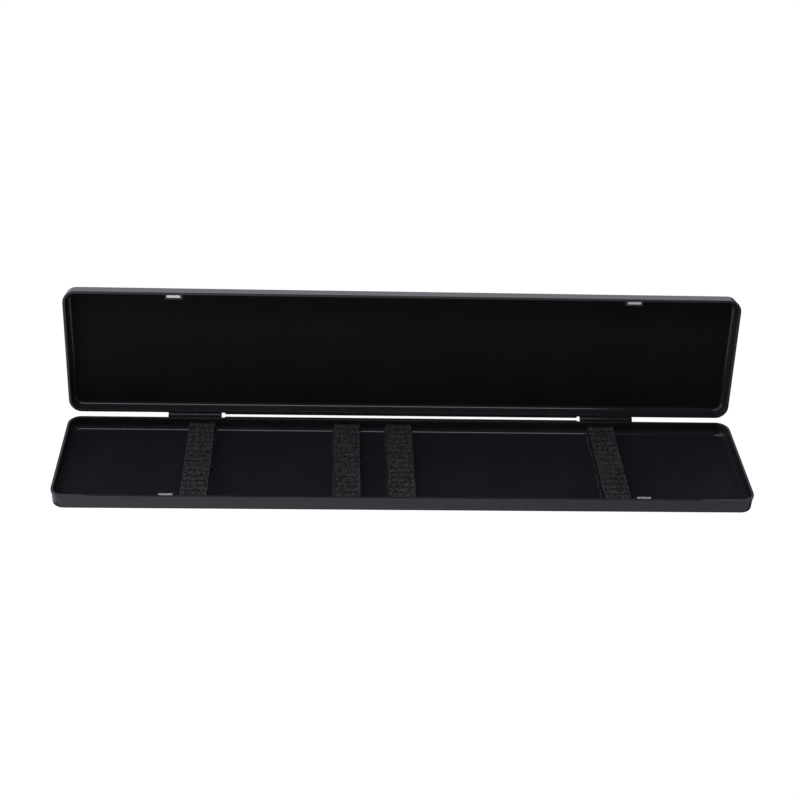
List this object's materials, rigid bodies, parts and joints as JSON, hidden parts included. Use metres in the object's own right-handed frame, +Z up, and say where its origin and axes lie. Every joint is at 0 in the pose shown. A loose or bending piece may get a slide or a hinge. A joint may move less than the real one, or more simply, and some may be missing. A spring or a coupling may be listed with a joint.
{
  "type": "drafting instrument case",
  "caption": "Slim black hinged case for drafting instruments: two shallow moulded shells, corner magnets that hold it shut and elastic straps across the tray.",
  "frame": {"origin": "centre of the base's underside, on the surface that the case lies on", "axes": "+X along the length, +Y towards the hinge, +Z up"},
  "size_m": [0.4, 0.1014, 0.0866],
  "materials": {
    "shell_plastic": "fine satin moulded texture",
    "pin_steel": "drawn wire",
    "magnet_nickel": "nickel plate",
    "strap_elastic": "ribbed knitted elastic"
  },
  "bodies": {
    "base": {"base_shell": "shell_plastic", "hinge_pin_left": "pin_steel", "hinge_pin_right": "pin_steel", "base_magnet_left": "magnet_nickel", "base_magnet_right": "magnet_nickel", "elastic_strap_1": "strap_elastic", "elastic_strap_2": "strap_elastic", "elastic_strap_3": "strap_elastic", "elastic_strap_4": "strap_elastic", "strap_patch_1": "strap_elastic", "strap_patch_2": "strap_elastic", "strap_patch_3": "strap_elastic", "strap_patch_4": "strap_elastic"},
    "lid": {"lid_shell": "shell_plastic", "lid_magnet_left": "magnet_nickel", "lid_magnet_right": "magnet_nickel"}
  },
  "joints": [
    {"name": "lid_hinge", "type": "hinge", "parent": "base", "child": "lid", "pos_m": [0, 0.04015, 0.00935], "axis": [1, 0, 0], "range_deg": [0, 100.4]}
  ]
}
